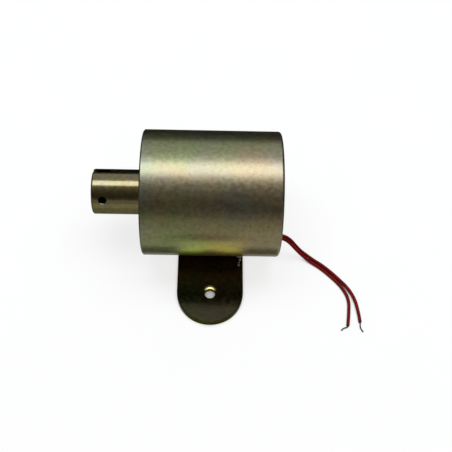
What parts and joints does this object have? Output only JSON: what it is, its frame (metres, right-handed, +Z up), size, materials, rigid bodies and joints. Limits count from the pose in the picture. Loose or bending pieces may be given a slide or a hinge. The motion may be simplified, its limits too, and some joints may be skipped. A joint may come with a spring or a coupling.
{
  "type": "push pull solenoid",
  "caption": "Round push-pull solenoid: steel case on a flat mounting foot, sliding slotted plunger with a cross hole, push rod through the closed end, and wire leads.",
  "frame": {"origin": "underside of the mounting foot, midway between its two holes and right under the middle of the case", "axes": "+X along the plunger's axis towards the closed end with the leads, +Z up from the foot, +Y away from the side shown in the picture"},
  "size_m": [0.1092, 0.0925, 0.053],
  "materials": {
    "case_plating": "satin yellow chromate over zinc",
    "plate_plating": "turned, yellow chromate over zinc",
    "foot_plating": "rolled bar, yellow chromate over zinc",
    "plunger_plating": "ground bar, yellow chromate over zinc",
    "core_steel": "turned, riveted end",
    "rod_stainless": "ground stainless steel",
    "weld_metal": "as welded, plated over",
    "tube_brass": "drawn",
    "winding_copper": "enamelled wire",
    "winding_tape": "polyester tape",
    "bobbin_nylon": "moulded",
    "washer_nylon": "stamped sheet",
    "washer_rubber": "cut sheet",
    "bush_fibre": "moulded",
    "lead_insulation": "red PVC insulation",
    "tinned_copper": "dull tinned strands",
    "sleeve_rubber": "insulating sleeve"
  },
  "bodies": {
    "case": {"case_shell": "case_plating", "front_plate": "plate_plating", "guide_tube": "tube_brass", "fixed_core": "core_steel", "bobbin": "bobbin_nylon", "coil_winding": "winding_copper", "coil_tape": "winding_tape", "takeup_washer": "washer_rubber", "lead_bush": "bush_fibre", "foot_strip": "foot_plating", "tack_welds": "weld_metal", "lead_front": "lead_insulation", "lead_rear": "lead_insulation", "lead_tip_front": "tinned_copper", "lead_tip_rear": "tinned_copper", "lead_inner_front": "lead_insulation", "lead_inner_rear": "lead_insulation", "splice_sleeve_front": "sleeve_rubber", "splice_sleeve_rear": "sleeve_rubber", "coil_end_front": "winding_copper", "coil_end_rear": "winding_copper"},
    "slider": {"residual_washer": "washer_nylon"},
    "plunger": {"plunger": "plunger_plating", "push_rod": "rod_stainless"}
  },
  "joints": [
    {"name": "plunger_slide", "type": "slide", "parent": "case", "child": "slider", "axis": [1, 0, 0], "range_m": [0, 0.01]},
    {"name": "plunger_turn", "type": "hinge", "parent": "slider", "child": "plunger", "pos_m": [-0.0005, 0, 0.028], "axis": [1, 0, 0], "continuous": true}
  ]
}
